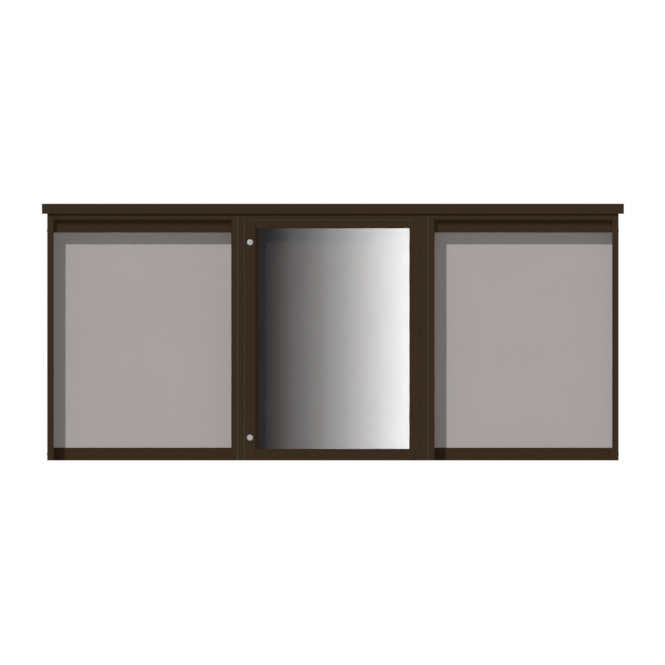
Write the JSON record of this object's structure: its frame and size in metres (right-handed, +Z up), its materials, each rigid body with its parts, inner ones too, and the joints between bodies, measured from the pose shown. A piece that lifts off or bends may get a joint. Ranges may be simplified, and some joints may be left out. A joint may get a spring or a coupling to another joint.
{
  "type": "lockable notice board",
  "caption": "Wall-hung aluminium notice board under one folded roof: open display bays beside a bay with a pivot-hung glazed door held shut by cam locks.",
  "frame": {"origin": "where the upper wall rail's back face meets the wall, half way along the rail", "axes": "+X along the board to the right as seen from its front, +Y from the board's front into the wall, +Z up"},
  "size_m": [2.2916, 0.1205, 1.011],
  "materials": {
    "powder_coat": "dark brown powder coat on aluminium, satin",
    "display_panel": "grey-beige coated sheet, matt",
    "felt": "dark grey felt over board",
    "glass": "clear toughened glass",
    "rubber": "black weather seal rubber, matt",
    "nickel": "nickel plated, satin",
    "zinc_steel": "zinc plated steel",
    "plain_aluminium": "mill finish aluminium",
    "galvanised": "hot-dip galvanised steel, matt",
    "black_steel": "blackened steel",
    "nylon": "black nylon"
  },
  "bodies": {
    "board": {"left_case_left_wall": "powder_coat", "left_case_right_wall": "powder_coat", "left_case_head": "powder_coat", "left_case_bottom_rail": "powder_coat", "left_case_display_panel": "display_panel", "centre_case_left_wall": "powder_coat", "centre_case_right_wall": "powder_coat", "centre_case_head": "powder_coat", "centre_case_bottom_rail": "powder_coat", "centre_case_back_panel": "display_panel", "pinboard": "felt", "right_case_left_wall": "powder_coat", "right_case_right_wall": "powder_coat", "right_case_head": "powder_coat", "right_case_bottom_rail": "powder_coat", "right_case_display_panel": "display_panel", "case_tongue_left": "plain_aluminium", "case_tongue_right": "plain_aluminium", "roof_hood": "powder_coat", "roof_end_plate_left": "powder_coat", "roof_end_plate_right": "powder_coat", "roof_bearer_front": "plain_aluminium", "roof_bearer_rear": "plain_aluminium", "wall_rail_upper": "galvanised", "wall_rail_lower": "galvanised", "door_stop_left": "powder_coat", "door_stop_right": "powder_coat", "door_seal_left": "rubber", "door_seal_right": "rubber", "door_seal_top": "rubber", "door_seal_bottom": "rubber", "lower_pivot_bracket": "black_steel", "upper_pivot_pin": "black_steel"},
    "door": {"lock_stile": "powder_coat", "hinge_stile": "powder_coat", "door_top_rail": "powder_coat", "door_bottom_rail": "powder_coat", "glass_pane": "glass", "glass_gasket_left": "rubber", "glass_gasket_right": "rubber", "glass_gasket_top": "rubber", "glass_gasket_bottom": "rubber", "glazing_bead_left": "powder_coat", "glazing_bead_right": "powder_coat", "glazing_bead_top": "powder_coat", "glazing_bead_bottom": "powder_coat", "lower_pivot_bush": "nylon", "upper_pivot_bush": "nylon", "upper_lock_housing": "nickel", "upper_lock_nut": "nickel", "lower_lock_housing": "nickel", "lower_lock_nut": "nickel"},
    "upper_lock": {"upper_lock_plug": "nickel", "upper_lock_cam": "zinc_steel", "upper_lock_cam_screw": "zinc_steel"},
    "lower_lock": {"lower_lock_plug": "nickel", "lower_lock_cam": "zinc_steel", "lower_lock_cam_screw": "zinc_steel"}
  },
  "joints": [
    {"name": "door_swing", "type": "hinge", "parent": "board", "child": "door", "pos_m": [0.3335, -0.1015, -0.39], "axis": [0, 0, 1], "range_deg": [0, 110]},
    {"name": "upper_lock_turn", "type": "hinge", "parent": "door", "child": "upper_lock", "pos_m": [-0.3266, -0.098, -0.001], "axis": [0, 1, 0], "range_deg": [0, 90]},
    {"name": "lower_lock_turn", "type": "hinge", "parent": "door", "child": "lower_lock", "pos_m": [-0.3266, -0.098, -0.77], "axis": [0, 1, 0], "range_deg": [0, 90]}
  ]
}
